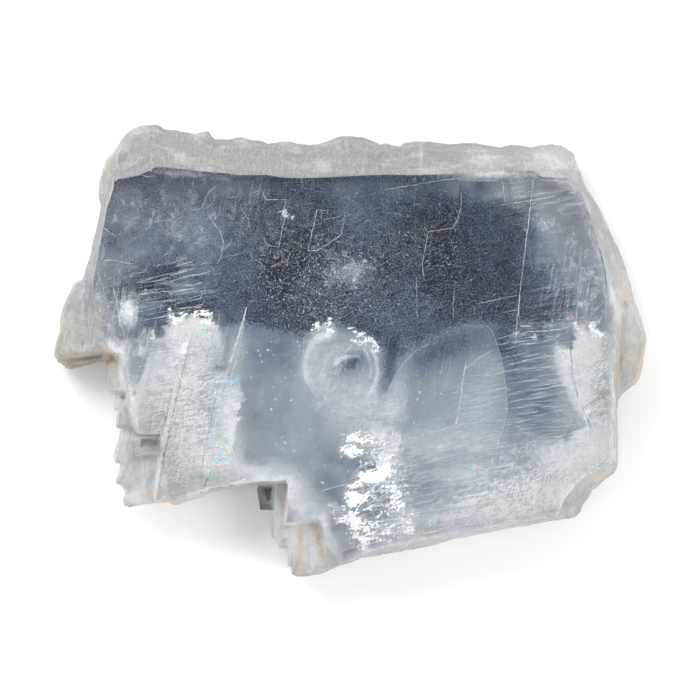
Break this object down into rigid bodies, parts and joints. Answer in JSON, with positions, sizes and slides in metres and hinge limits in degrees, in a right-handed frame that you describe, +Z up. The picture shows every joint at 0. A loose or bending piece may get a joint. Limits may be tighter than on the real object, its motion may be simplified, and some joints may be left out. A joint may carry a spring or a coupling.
{
  "type": "selenite slab",
  "caption": "Clear tabular selenite crystal: a flat cleavage plate with frosted broken rims, a stepped lower-left corner and side ledges.",
  "frame": {"origin": "middle of the slab's footprint, on the surface it lies on", "axes": "+Z up through the slab's thickness, out of its clear upper cleavage face; +X along its longest side, towards the edge with the rounded side lobe; +Y across it, towards its long frosted rim"},
  "size_m": [0.14, 0.1068, 0.018],
  "materials": {
    "selenite": "clear natural gypsum, glassy on its two cleavage faces, with silky frosted and fibrous broken rims"
  },
  "bodies": {
    "root": {"selenite_slab": "selenite"}
  },
  "joints": []
}
